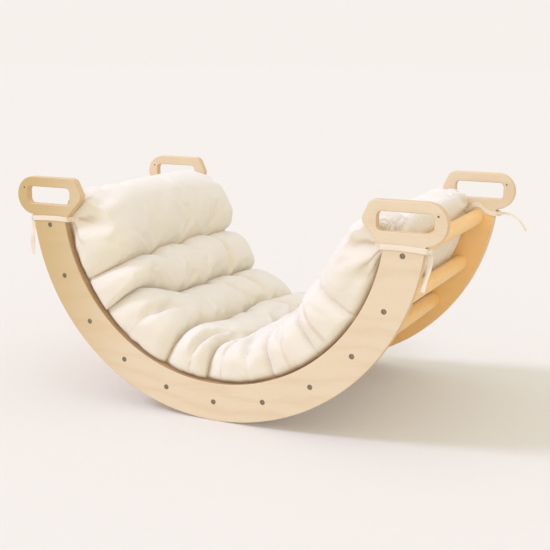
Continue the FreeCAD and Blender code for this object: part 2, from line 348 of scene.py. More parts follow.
@dataclass(frozen=True)
class PlywoodFinish:
    """Clear-lacquered birch plywood with its layers showing on the cut edges.

    A mix holds the shares of a pattern's parts, in the order in which they are added.
    """

    pale: Colour = (0.735, 0.620, 0.440)
    warm: Colour = (0.695, 0.560, 0.370)
    # Colour of the painted shade towards the front arch's left end.
    left_shade: Colour = (0.530, 0.370, 0.130)
    # Colour of the painted shade on the faces between the arches.
    amber_shade: Colour = (0.880, 0.540, 0.180)
    layer_long: Colour = (0.76, 0.575, 0.320)
    layer_cross: Colour = (0.60, 0.385, 0.180)
    rim_shade: Colour = (0.43, 0.270, 0.115)
    layer_pitch: float = 0.00277
    layer_start: float = 0.85 * math.pi / 2
    flame_mix: tuple[float, float, float] = (46.0, 9.0, 3.0)
    flame_turn: float = 2.6
    grain_mix: tuple[float, float, float] = (0.62, 0.22, 0.16)
    left_shade_share: float = 0.85
    amber_shade_share: float = 0.75
    amber_shade_top: tuple[float, float] = (0.375, 0.400)
    rim_top: tuple[float, float] = (0.380, 0.400)
    rim_share: float = 0.8
    roughness: float = 0.40
    relief: float = 0.00012
    lacquer: float = 0.25
    lacquer_roughness: float = 0.32

    def material(self) -> bpy.types.Material:
        """Builds the plywood.

        Returns:
            The material.
        """
        recipe = Recipe("lacquered_plywood")
        spot = recipe.parts(recipe.place())
        across = recipe.parts(recipe.facing())[1]
        streaks = recipe.cloud(recipe.stretched(spot, 5.0, 1.0, 150.0), 4.0, 4.0, 0.65)
        pores = recipe.cloud(recipe.stretched(spot, 40.0, 1.0, 900.0), 1.0, 2.0, 0.6)
        fibres = recipe.cloud(recipe.stretched(spot, 60.0, 900.0, 60.0), 4.0, 3.0, 0.6)
        depth = (spot[1].size() - PANEL_INNER_FACE) / self.layer_pitch
        layers = (depth * FULL_TURN + self.layer_start).wave().eased(0.25, 0.75)
        on_edge = 1.0 - across.size().eased(0.55, 0.92)
        grain, veneer = self._veneer(recipe, spot, across, streaks, pores)
        edge = self._edge(recipe, spot, layers, fibres)
        raised = streaks * 0.6 + pores * 0.4 + on_edge * (layers * -0.9 + fibres * 0.6)
        return recipe.finish(
            Base_Color=recipe.blend(on_edge, veneer, edge),
            Roughness=self.roughness + grain * 0.14 + on_edge * 0.14,
            Normal=recipe.relief(raised, self.relief, 0.5),
            Coat_Weight=self.lacquer,
            Coat_Roughness=self.lacquer_roughness,
        )

    def _veneer(
        self,
        recipe: Recipe,
        spot: tuple[Maths, Maths, Maths],
        across: Maths,
        streaks: Maths,
        pores: Maths,
    ) -> tuple[Maths, Maths]:
        """Draws the sheet's face, with painted shade: a honey-coloured shade towards the left end
        of the front arch, and an amber shade on the faces between the arches below the grips.

        Args:
            recipe: The material under work.
            spot: The point on the piece, in parts.
            across: How far the surface faces across the seat.
            streaks: The grain's long streaks.
            pores: Its short pores.

        Returns:
            The grain from 0 to 1, and the face's colour.
        """
        x, y, z = spot
        drift = recipe.cloud(recipe.stretched(spot, 1.4, 0.0, 3.0), 3.2, 2.0)
        sheet = recipe.cloud(recipe.stretched(spot, 0.35, 0.02, 1.0), 9.0, 2.0)
        height, pull, wander = self.flame_mix
        flame = ((z * height + drift * pull + sheet * wander) * self.flame_turn).wave()
        long, broad, slow = self.grain_mix
        grain = streaks * long + flame * broad + drift * slow
        colour = recipe.ramp(grain, [(0.30, self.warm), (0.52, self.pale), (0.78, self.pale)])
        # Painted shade: the front arch's face turns darker and honey-coloured towards its left
        # end.
        left_shading = (x * -1.0 + recipe.cloud(recipe.place(), 1.3, 1.0) * 0.25).eased(0.30, 0.56)
        left_shading = left_shading * (1.0 - y.eased(-0.1, 0.1))
        colour = recipe.blend(left_shading * self.left_shade_share, colour, self.left_shade)
        # Painted shade: the faces that look in between the arches turn amber below the grips, for
        # the warm shade there.
        inside = (across * y * -6.0).eased(0.5, 1.2) * (1.0 - z.eased(*self.amber_shade_top))
        colour = recipe.blend(inside * self.amber_shade_share, colour, self.amber_shade)
        return grain, recipe.blend(pores.eased(0.60, 0.74) * 0.22, colour, self.layer_cross)

    def _edge(
        self, recipe: Recipe, spot: tuple[Maths, Maths, Maths], layers: Maths, fibres: Maths
    ) -> Maths:
        """Draws the cut edge: its layers, and the shade along the arc's inner rim.

        Args:
            recipe: The material under work.
            spot: The point on the piece, in parts.
            layers: The layers, 0 along the grain and 1 across it.
            fibres: The fine fibres of the cut.

        Returns:
            The edge's colour.
        """
        x, _, z = spot
        colour = recipe.blend(layers, self.layer_long, self.layer_cross)
        colour = recipe.blend(fibres.eased(0.35, 0.8) * 0.35, colour, self.pale)
        outside = recipe.arc_radius(x, z).eased(
            ARC_INNER_RADIUS + 0.0005, ARC_INNER_RADIUS + 0.0020
        )
        rim = (1.0 - outside) * (1.0 - z.eased(*self.rim_top))
        return recipe.blend(rim * self.rim_share, colour, self.rim_shade)


@dataclass(frozen=True)
class RungFinish:
    """A turned beech rung, its grain along its length."""

    pale: Colour = (0.90, 0.600, 0.240)
    warm: Colour = (0.84, 0.510, 0.165)
    ray: Colour = (0.60, 0.330, 0.110)
    end_grain: Colour = (0.52, 0.33, 0.17)
    ring_rate: float = 9000.0
    ring_wander: float = 5.0
    ray_share: float = 0.35
    roughness: float = 0.42
    relief: float = 0.0001
    lacquer: float = 0.2
    lacquer_roughness: float = 0.35

    def material(self) -> bpy.types.Material:
        """Builds the turned wood.

        Returns:
            The material.
        """
        recipe = Recipe("turned_beech")
        spot = x, _, z = recipe.parts(recipe.place())
        along = recipe.parts(recipe.facing())[1]
        streaks = recipe.cloud(recipe.stretched(spot, 90.0, 4.0, 90.0), 1.0, 4.0, 0.6)
        broad = recipe.cloud(recipe.stretched(spot, 24.0, 1.6, 24.0), 1.0, 2.0)
        rays = recipe.cloud(recipe.stretched(spot, 420.0, 60.0, 420.0), 1.0, 1.0)
        grain = streaks * 0.65 + broad * 0.35
        colour = recipe.ramp(grain, [(0.30, self.warm), (0.62, self.pale)])
        colour = recipe.blend(rays.eased(0.62, 0.75) * self.ray_share, colour, self.ray)
        rings = ((x * x + z * z) * self.ring_rate + broad * self.ring_wander).wave()
        end = recipe.blend(rings, self.end_grain, self.warm)
        return recipe.finish(
            Base_Color=recipe.blend(along.size().eased(0.6, 0.95), colour, end),
            Roughness=self.roughness + grain * 0.16,
            Normal=recipe.relief(streaks + rays * 0.5, self.relief, 0.5),
            Coat_Weight=self.lacquer,
            Coat_Roughness=self.lacquer_roughness,
        )


@dataclass(frozen=True)
class ScrewFinish:
    """Zinc-plated steel, with painted shadow darkening the head's ring as from its countersink,
    and lighter in the socket.
    """

    bright: Colour = (0.52, 0.46, 0.38)
    # Dull plating colour for the stains, and also the painted shadow on the head's ring.
    dull_and_ring_shadow: Colour = (0.20, 0.155, 0.095)
    socket_pale: Colour = (0.62, 0.52, 0.38)
    socket_floor: float = 0.0155
    socket_depth: float = 0.0016
    ring_shadow_share: float = 0.55
    socket_share: float = 0.8
    turning_height: float = 0.00003

    def material(self) -> bpy.types.Material:
        """Builds the plated steel.

        Returns:
            The material.
        """
        recipe = Recipe("plated_steel")
        place = recipe.place()
        spot = recipe.parts(place)
        stains = recipe.cloud(place, 260.0, 3.0, 0.6)
        turning = recipe.cloud(recipe.stretched(spot, 40.0, 3000.0, 40.0), 1.0, 2.0)
        height = spot[1].size() - (PANEL_INNER_FACE + self.socket_floor)
        sunk = 1.0 - height.eased(0.0, self.socket_depth)
        colour = recipe.ramp(stains, [(0.30, self.dull_and_ring_shadow), (0.75, self.bright)])
        # Painted shadow: the head's face round the socket is darkened, as from its countersink.
        colour = recipe.blend((1.0 - sunk) * self.ring_shadow_share, colour, self.dull_and_ring_shadow)
        # In the base colour, the socket is painted lighter.
        return recipe.finish(
            Base_Color=recipe.blend(sunk * self.socket_share, colour, self.socket_pale),
            Metallic=0.85 - sunk * 0.7,
            Roughness=0.30 + stains * 0.22 + sunk * 0.2,
            Normal=recipe.relief(turning, self.turning_height, 0.4),
        )


@dataclass(frozen=True)
class CottonFinish:
    """Unbleached plain-weave cotton, gathered along its seams and at its corners."""

    thread: Colour = (0.775, 0.735, 0.620)
    shade: Colour = (0.690, 0.620, 0.460)
    # Colour of the painted shade in the seams, creases, nips and pleats.
    crease: Colour = (0.460, 0.310, 0.150)
    # Colour of the painted shade in the gap between the cloth and the arches.
    gap_shade: Colour = (0.300, 0.170, 0.075)
    pitch: float = 0.00055
    thread_height: float = 0.00012
    crumple: float = 0.0011
    crease_share: float = 0.6
    gap_shade_share: float = 0.75
    gap_shade_radii: tuple[float, float] = (0.347, 0.359)
    gap_shade_places: tuple[float, float] = (0.240, 0.249)
    gap_shade_heights: tuple[float, float] = (0.365, 0.385)
    tie: Point = (0.3516, 0.2525, 0.395)
    pleats: float = 6.5
    pleat_drift: float = 2.5
    pleat_reach: tuple[float, float] = (0.030, 0.085)
    pleat_shade_share: float = 0.5

    def material(self) -> bpy.types.Material:
        """Builds the cotton. The mesh carries its own run of the cloth and its nearness to a seam.

        Returns:
            The material.
        """
        recipe = Recipe("cushion_cotton")
        run = recipe.carried("cloth_run", "Vector")
        u, v, _ = recipe.parts(run)
        x, y, z = recipe.parts(recipe.place())
        near_seam = recipe.carried("near_seam", "Fac")
        turn = FULL_TURN / self.pitch
        weave = (u * turn).sine() * (v * turn).sine() * 0.5 + 0.5
        along = recipe.cloud(recipe.joined(u * 220.0, v * 2400.0, 0.0), 1.0, 2.0)
        slubs = along + recipe.cloud(recipe.joined(u * 2400.0, v * 220.0, 3.0), 1.0, 2.0)
        soft = recipe.cloud(run, 26.0, 4.0, 0.55)
        ridge = (recipe.cloud(run, 42.0, 3.0, 0.5) - 0.5).size() * 6.0
        ridged = 1.0 - ridge.eased(0.0, 1.0)
        mottle = recipe.cloud(run, 7.0, 2.0)
        colour = recipe.ramp(
            slubs * 0.5, [(0.30, self.shade), (0.46, self.thread), (0.70, self.thread)]
        )
        # Painted shade: the cloth darkens near the seams and creases; the mottle is the cloth's
        # own random tone.
        colour = recipe.blend(near_seam * 0.30 + mottle * 0.10, colour, self.shade)
        # Painted shade: thin dark lines along the seams and in the creases and nips.
        crease = recipe.carried("in_crease", "Fac").eased(0.35, 0.95)
        colour = recipe.blend(crease * self.crease_share, colour, self.crease)
        # Painted shade: a dark line where the cloth meets the arches' inner edges, below the
        # grips.
        gap_shaded = recipe.arc_radius(x, z).eased(*self.gap_shade_radii)
        gap_shaded = gap_shaded * y.size().eased(*self.gap_shade_places)
        gap_shaded = gap_shaded * (1.0 - z.eased(*self.gap_shade_heights))
        colour = recipe.blend(gap_shaded * self.gap_shade_share, colour, self.gap_shade)
        pleats = self._pleats(x, y, z, soft)
        # Painted shade in the pleats that spread from each corner's tie.
        colour = recipe.blend(pleats * self.pleat_shade_share, colour, self.crease)
        folded = soft + ridged * (0.25 + near_seam * 0.9) - pleats * 3.0
        folds = recipe.relief(folded, self.crumple, 0.45)
        threads = weave * 0.6 + slubs * 0.4
        return recipe.finish(
            Base_Color=colour,
            Roughness=0.86 + slubs * 0.05,
            Normal=recipe.relief(threads, self.thread_height, 0.45, folds),
            Sheen_Weight=0.25,
            Sheen_Roughness=0.5,
        )

    def _pleats(self, x: Maths, y: Maths, z: Maths, drift: Maths) -> Maths:
        """Draws the pleats that spread over the cloth from each corner's tie.

        Args:
            x: The place along the rocker.
            y: The place across it.
            z: The height.
            drift: Noise that bends the pleats.

        Returns:
            How deep a pleat is, from 0 to 1.
        """
        along, across, up = (
            part - tie for part, tie in zip((x.size(), y.size(), z), self.tie)
        )
        level = (along * along + across * across) ** 0.5
        away = (level * level + up * up) ** 0.5
        wave = (up / (level + 0.006) * self.pleats + drift * self.pleat_drift + 0.6).wave()
        return wave**5.0 * (1.0 - away.eased(*self.pleat_reach)) * away.eased(0.002, 0.010)


@dataclass(frozen=True)
class TapeFinish:
    """Cotton herringbone tape."""

    thread: Colour = (0.84, 0.76, 0.62)
    shade: Colour = (0.66, 0.56, 0.40)
    rib: float = 0.0011
    rib_slant: float = 0.9
    hem_start: float = 0.0044
    hem_width: float = 0.0006
    relief: float = 0.00014

    def material(self) -> bpy.types.Material:
        """Builds the tape. The mesh carries the run of the cloth.

        Returns:
            The material.
        """
        recipe = Recipe("tie_tape")
        run = recipe.carried("cloth_run", "Vector")
        u, v, _ = recipe.parts(run)
        twill = ((u + v.size() * self.rib_slant) * (FULL_TURN / self.rib)).wave()
        slubs = recipe.cloud(recipe.joined(u * 300.0, v * 2600.0, 0.0), 1.0, 2.0)
        hem = (v.size() - self.hem_start).eased(0.0, self.hem_width)
        colour = recipe.blend(1.0 - twill, self.thread, self.shade)
        colour = recipe.blend(0.55 + slubs * 0.2, colour, self.thread)
        return recipe.finish(
            Base_Color=colour,
            Roughness=0.84 + slubs * 0.08,
            Normal=recipe.relief(twill + slubs * 0.4 + hem * 0.8, self.relief, 0.6),
            Sheen_Weight=0.2,
            Sheen_Roughness=0.5,
        )


@dataclass(frozen=True)
class FloorFinish:
    """The studio's smooth pale floor."""

    pale: Colour = (0.738, 0.715, 0.600)
    speck_share: float = 0.995

    def material(self) -> bpy.types.Material:
        """Builds the floor paint.

        Returns:
            The material.
        """
        recipe = Recipe("studio_floor")
        speck = recipe.cloud(recipe.place(), 30.0, 2.0)
        darker = tuple(part * self.speck_share for part in self.pale)
        colour = recipe.ramp(speck, [(0.3, darker), (0.7, self.pale)])
        return recipe.finish(Base_Color=colour, Roughness=1.0, Specular_IOR_Level=0.0)


def finished(build: bmesh.types.BMesh, name: str) -> bpy.types.Object:
    """Turns a bmesh into a smooth piece that rides with the frame.

    Args:
        build: The mesh under work, which is freed.
        name: The piece's name.

    Returns:
        The piece.
    """
    mesh = bpy.data.meshes.new(name)
    build.to_mesh(mesh)
    build.free()
    mesh.shade_smooth()
    piece = bpy.data.objects.new(name, mesh)
    bpy.context.scene.collection.objects.link(piece)
    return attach(piece, "root")


def dressed(piece: bpy.types.Object, material: bpy.types.Material) -> None:
    """Puts one material on a piece, in place of what it has."""
    piece.data.materials.clear()
    piece.data.materials.append(material)


def soften(piece: bpy.types.Object) -> None:
    """Rounds a piece off with one subdivision."""
    soft = piece.modifiers.new("soft", "SUBSURF")
    soft.levels = soft.render_levels = 1


def points_of(vertices: Any) -> np.ndarray:
    """Reads the places of a mesh's vertices."""
    return np.array([tuple(vertex.co) for vertex in vertices], float)


def reshape(mesh: bpy.types.Mesh, points: np.ndarray) -> None:
    """Moves a mesh's vertices to new places."""
    mesh.vertices.foreach_set("co", points.astype(np.float32).ravel())
    mesh.update()


def fade(values: np.ndarray, span: float) -> np.ndarray:
    """Rises from 0 to 1 while the values go from 0 to a span."""
    return np.clip(values / span, 0, 1)


def noise_at(points: np.ndarray) -> np.ndarray:
    """Smooth noise at each of the points."""
    return np.array([noise.noise(Vector(point)) for point in points])


def heading(line: Sequence[Vector], index: int) -> Vector:
    """The direction of a line at one of its points."""
    return (line[min(index + 1, len(line) - 1)] - line[max(index - 1, 0)]).normalized()


def carry(mesh: bpy.types.Mesh, name: str, kind: str, values: np.ndarray) -> None:
    """Stores a value for each vertex on a mesh.

    Args:
        mesh: The mesh.
        name: The attribute's name.
        kind: The attribute's type.
        values: The values in vertex order.
    """
    attribute = mesh.attributes.new(name, kind, "POINT")
    field = "vector" if kind == "FLOAT_VECTOR" else "value"
    attribute.data.foreach_set(field, np.asarray(values, np.float32).ravel())


def smooth_line(points: Sequence[Sequence[float]], parts: int = 12) -> list[Vector]:
    """Reads a smooth line off a spline with the given control points.

    Args:
        points: The control points.
        parts: The spline's steps between two of them.

    Returns:
        The points along the line.
    """
    curve = bpy.data.curves.new("route", "CURVE")
    curve.dimensions = "3D"
    curve.resolution_u = parts
    spline = curve.splines.new("NURBS")
    spline.points.add(len(points) - 1)
    for knot, point in zip(spline.points, points):
        knot.co = (*point, 1.0)
    spline.order_u = 3
    spline.use_endpoint_u = True
    holder = bpy.data.objects.new("route", curve)
    mesh = bpy.data.meshes.new_from_object(holder)
    line = [vertex.co.copy() for vertex in mesh.vertices]
    bpy.data.objects.remove(holder)
    bpy.data.curves.remove(curve)
    bpy.data.meshes.remove(mesh)
    return line


@dataclass(frozen=True)
class Lamp:
    """One distant light: the side that it shines from, its light in each colour and its softness.

    The side is in degrees round the object: 0 shines from the left and 90 from the front. The
    spread is the lamp's width in degrees.
    """

    name: str
    azimuth: float
    elevation: float
    light: Colour
    spread: float
    casts_shadow: bool

    def hang(self) -> None:
        """Adds the lamp to the scene."""
        strongest = max(self.light)
        lamp = bpy.data.lights.new(self.name, "SUN")
        lamp.energy = strongest
        lamp.color = tuple(part / strongest for part in self.light)
        lamp.angle = math.radians(self.spread)
        lamp.use_shadow = self.casts_shadow
        azimuth, elevation = math.radians(self.azimuth), math.radians(self.elevation)
        towards = Vector(
            (
                -math.cos(azimuth) * math.cos(elevation),
                -math.sin(azimuth) * math.cos(elevation),
                math.sin(elevation),
            )
        )
        holder = bpy.data.objects.new(self.name, lamp)
        holder.rotation_mode = "QUATERNION"
        holder.rotation_quaternion = towards.to_track_quat("Z", "Y")
        holder.location = towards * LAMP_DISTANCE
        bpy.context.scene.collection.objects.link(holder)


@dataclass
class Studio:
    """The floor, the lights and the camera. Its angles are in degrees."""

    lens: float = 67.33
    camera_place: Point = (0.97338, -2.03493, 0.73324)
    camera_azimuth: float = 25.35
    camera_elevation: float = 11.99
    camera_roll: float = 0.28
    floor_size: float = 60.0
    lamps: tuple[Lamp, ...] = (
        Lamp("window", 25.35, 42.0, (0.95, 0.95, 1.60), 14.0, True),
        Lamp("ceiling_bounce", 0.0, 90.0, (0.30, 0.39, 0.69), 30.0, False),
        Lamp("front_bounce", 115.35, 16.0, (0.50, 0.40, 0.22), 30.0, False),
    )
    room_light: Colour = (0.93, 0.88, 0.84)

    def build(self) -> None:
        """Lays the floor and sets the lights and the camera."""
        self._floor()
        self._lights()
        self._camera()
        bpy.context.scene.view_settings.view_transform = "Standard"

    def _floor(self) -> None:
        """Lays the floor."""
        build = bmesh.new()
        bmesh.ops.create_grid(build, x_segments=2, y_segments=2, size=self.floor_size)
        mesh = bpy.data.meshes.new("studio_floor")
        build.to_mesh(mesh)
        build.free()
        floor = bpy.data.objects.new("studio_floor", mesh)
        bpy.context.scene.collection.objects.link(floor)
        dressed(floor, FloorFinish().material())

    def _lights(self) -> None:
        """Sets the room's even light and the lamps."""
        world = bpy.data.worlds.new("studio_room")
        world.use_nodes = True
        background = world.node_tree.nodes["Background"]
        background.inputs["Color"].default_value = (*self.room_light, 1.0)
        background.inputs["Strength"].default_value = 1.0
        bpy.context.scene.world = world
        for lamp in self.lamps:
            lamp.hang()

    def _camera(self) -> None:
        """Sets the camera."""
        lens = bpy.data.cameras.new("camera")
        lens.lens = self.lens
        lens.sensor_width = 36.0
        lens.clip_start = 0.05
        lens.clip_end = 200.0
        camera = bpy.data.objects.new("camera", lens)
        azimuth = math.radians(self.camera_azimuth)
        elevation = math.radians(self.camera_elevation)
        back = Vector(
            (
                math.sin(azimuth) * math.cos(elevation),
                -math.cos(azimuth) * math.cos(elevation),
                math.sin(elevation),
            )
        )
        roll = Matrix.Rotation(math.radians(self.camera_roll), 3, back)
        aim = (-back).to_track_quat("-Z", "Y").to_matrix()
        camera.rotation_mode = "QUATERNION"
        camera.rotation_quaternion = (roll @ aim).to_quaternion()
        camera.location = self.camera_place
        bpy.context.scene.collection.objects.link(camera)
        bpy.context.scene.camera = camera


@dataclass
class WoodenFrame:
    """The two arches, the rungs between them and their screws, which keep their own shapes."""

    def dress(self) -> None:
        """Gives each node its finish."""
        finishes = {
            "side_panel": PlywoodFinish().material(),
            "rung": RungFinish().material(),
            "screws": ScrewFinish().material(),
        }
        for name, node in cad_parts.items():
            for start, finish in finishes.items():
                if name.startswith(start):
                    for slot in node.material_slots:
                        slot.material = finish
                    log.info("%s: %s", name, finish.name)


@dataclass
class CornerTie:
    """One corner's tapes: round the grip's neck, a knot at its outer edge and a loose tail.

    The strap routes are those of the front right corner, and are mirrored to the others. A knot's
    turn has its lean in radians, then half its width and its radius as shares of the knot's size.
    """

    side: Side
    end: End
    tail_route: tuple[Point, ...]
    tail_length: float
    tail_turns: tuple[float, ...]
    tape: bpy.types.Material
    tape_width: float = 0.011
    tape_thickness: float = 0.0011
    tape_ribs: int = 4
    strap_lean: float = 0.036
    strap_waves: tuple[float, float] = (31.0, 3.0)
    knot_squareness: float = 0.72
    knot_core: float = 0.94
    fold_rates: tuple[float, float] = (5.0, 9.0)
    fold_depth: float = 0.05
    crease_rate: float = 1.7
    crease_depth: float = 0.14
    turn_bulge: float = 0.05
    turn_waves: tuple[float, float] = (3.0, 0.03)
    knot_fill: float = 0.93
    knot_wall: float = 0.0009
    knot_segments: int = 40
    knot_tilt: float = 0.9 * math.pi / 2
    knot_turns: tuple[Point, ...] = ((0.55, 0.34, 1.02), (-0.75, 0.30, 1.05))
    front_route: tuple[Point, ...] = (
        (0.318, -0.2505, 0.3895),
        (0.334, -0.2536, 0.3900),
        (0.348, -0.2541, 0.3908),
        (0.3508, -0.2560, 0.3910),
        (0.3508, -0.2715, 0.3915),
        (0.3535, -0.2742, 0.3925),
        (0.372, -0.2742, 0.3935),
        (0.395, -0.2742, 0.3930),
        (0.420, -0.2742, 0.3918),
        (0.4375, -0.2742, 0.3905),
        (0.4405, -0.2715, 0.3900),
        (0.4440, -0.2660, 0.3895),
    )
    inside_route: tuple[Point, ...] = (
        (0.336, -0.2530, 0.3880),
        (0.350, -0.2538, 0.3885),
        (0.366, -0.2538, 0.3890),
        (0.378, -0.2538, 0.3960),
        (0.388, -0.2538, 0.4065),
        (0.402, -0.2538, 0.4065),
        (0.413, -0.2538, 0.3960),
        (0.424, -0.2538, 0.3890),
        (0.4365, -0.2538, 0.3885),
        (0.4402, -0.2560, 0.3885),
        (0.4440, -0.2620, 0.3890),
    )

    @property
    def label(self) -> str:
        """The corner's name."""
        return f"{self.side.name.lower()}_{self.end.name.lower()}"

    def build(self) -> None:
        """Builds the corner's pieces."""
        self._straps()
        self._knot()
        self._tail()

    def _placed(self, points: Sequence[Point]) -> list[Point]:
        """Mirrors the front right corner's points to this corner."""
        return [(x * self.end.value, -y * self.side.value, z) for x, y, z in points]

    def _ribbon(
        self, name: str, line: list[Vector], across: list[Vector]
    ) -> bpy.types.Object:
        """Makes a flat tape along a line.

        Args:
            name: The piece's name.
            line: The points along its middle.
            across: The direction of its width at each point.

        Returns:
            The piece.
        """
        build = bmesh.new()
        steps, half = len(line) - 1, self.tape_width / 2
        bmesh.ops.create_grid(build, x_segments=steps, y_segments=self.tape_ribs, size=1.0)
        run = np.zeros((len(build.verts), 3), np.float32)
        lengths = [0.0]
        for start, stop in zip(line, line[1:]):
            lengths.append(lengths[-1] + (stop - start).length)
        for vertex in build.verts:
            step = round((vertex.co.x + 1) / 2 * steps)
            place = vertex.co.y * half
            run[vertex.index] = (lengths[step], place, 0.0)
            vertex.co = line[step] + across[step] * place
        piece = finished(build, name)
        carry(piece.data, "cloth_run", "FLOAT_VECTOR", run)
        wall = piece.modifiers.new("wall", "SOLIDIFY")
        wall.thickness = self.tape_thickness
        wall.offset = 0.0
        soften(piece)
        dressed(piece, self.tape)
        log.info("%s: %.0f mm of tape", name, 1000 * lengths[-1])
        return piece

    def _straps(self) -> None:
        """Makes the two tapes that pass the neck."""
        for part, route in (("outside", self.front_route), ("inside", self.inside_route)):
            line = smooth_line(self._placed(route), 8)
            across = []
            for index, point in enumerate(line):
                along = heading(line, index)
                out = Vector((along.y, -along.x, 0.0)).normalized()
                rate, shift = self.strap_waves
                lean = self.strap_lean * math.sin(rate * point.x + shift * self.side.value)
                across.append((Vector((0.0, 0.0, 1.0)) + out * lean).normalized())
            piece = self._ribbon(f"tie_{part}_{self.label}", line, across)
            if part == "outside":
                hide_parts(f"tie_strap_{self.label}")

    def _knot(self) -> None:
        """Makes the knot: a soft core with two turns of tape over it."""
        node = f"tie_knot_{self.label}"
        low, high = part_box(node)
        middle, half = (low + high) / 2, (high - low) / 2
        build = bmesh.new()
        bmesh.ops.create_icosphere(build, subdivisions=4, radius=1.0)
        for vertex in build.verts:
            vertex.co = self._crumpled(vertex.co.copy())
        wound = set()
        for lean, width, radius in self.knot_turns:
            wound |= self._turn(build, lean, width, radius)
        for vertex in build.verts:
            vertex.co = Vector(
                [m + c * h * self.knot_fill for m, c, h in zip(middle, vertex.co, half)]
            )
        turns = [face for face in build.faces if face.verts[0] in wound]
        bmesh.ops.recalc_face_normals(build, faces=build.faces)
        bmesh.ops.solidify(build, geom=turns, thickness=self.knot_wall)
        run = [(v.co.x + v.co.z, v.co.y * 0.5, 0.0) for v in build.verts]
        piece = finished(build, f"tie_knotted_{self.label}")
        carry(piece.data, "cloth_run", "FLOAT_VECTOR", np.array(run, np.float32))
        dressed(piece, self.tape)
        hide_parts(node)
        log.info("%s", piece.name)

    def _crumpled(self, spot: Vector) -> Vector:
        """Moves a point of the knot's round core to where its squared, folded cloth lies.

        Args:
            spot: The point on a ball of radius 1.

        Returns:
            The moved point.
        """
        squared = [math.copysign(abs(part) ** self.knot_squareness, part) for part in spot]
        along, up = self.fold_rates
        fold = math.sin(up * spot.z + along * spot.x) * self.fold_depth
        seed = Vector((self.end.value * 3, self.side.value * 5, 0))
        crease = abs(noise.noise(spot * self.crease_rate + seed)) * self.crease_depth
        return Vector(squared) * (self.knot_core + fold - crease)

    def _turn(
        self, build: bmesh.types.BMesh, lean: float, width: float, radius: float
    ) -> set[bmesh.types.BMVert]:
        """Winds one turn of tape round the knot's core.

        Args:
            build: The knot under work.
            lean: The turn's lean in radians.
            width: Half its width.
            radius: Its radius.

        Returns:
            The turn's vertices.
        """
        band = set(
            bmesh.ops.create_circle(build, segments=self.knot_segments, radius=radius)["verts"]
        )
        bmesh.ops.translate(build, verts=list(band), vec=(0, 0, -width))
        edges = [edge for edge in build.edges if edge.verts[0] in band]
        for _ in range(4):
            grown = bmesh.ops.extrude_edge_only(build, edges=edges)["geom"]
            edges = [item for item in grown if isinstance(item, bmesh.types.BMEdge)]
            fresh = {vertex for edge in edges for vertex in edge.verts} - band
            edges = [edge for edge in edges if set(edge.verts) <= fresh]
            bmesh.ops.translate(build, verts=list(fresh), vec=(0, 0, width / 2))
            band |= fresh
        for vertex in band:
            angle = math.atan2(vertex.co.y, vertex.co.x)
            waves, height = self.turn_waves
            bulge = 1.0 + self.turn_bulge * (1 - (vertex.co.z / width) ** 2)
            bulge += height * math.sin(waves * angle)
            vertex.co.xy *= bulge
        tilt = Matrix.Rotation(self.knot_tilt + lean, 3, "Y")
        bmesh.ops.rotate(build, verts=list(band), cent=(0, 0, 0), matrix=tilt)
        return band

    def _tail(self) -> None:
        """Makes the loose tail, a free length of tape."""
        line = smooth_line(self.tail_route, 10)
        span = (line[-1] - line[0]).normalized()
        lying = Vector((1.0, 0.0, 0.0)) if abs(span.x) < 0.7 else Vector((0.0, 1.0, 0.0))
        stops = np.linspace(0.0, 1.0, len(self.tail_turns))
        across = []
        for index in range(len(line)):
            along = heading(line, index)
            turn = float(np.interp(index / (len(line) - 1), stops, self.tail_turns))
            flat = (lying - along * lying.dot(along)).normalized()
            across.append(Matrix.Rotation(math.radians(turn), 3, along) @ flat)
        piece = self._ribbon(f"tie_loose_{self.label}", line, across)
        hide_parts(f"tie_tail_{self.label}")


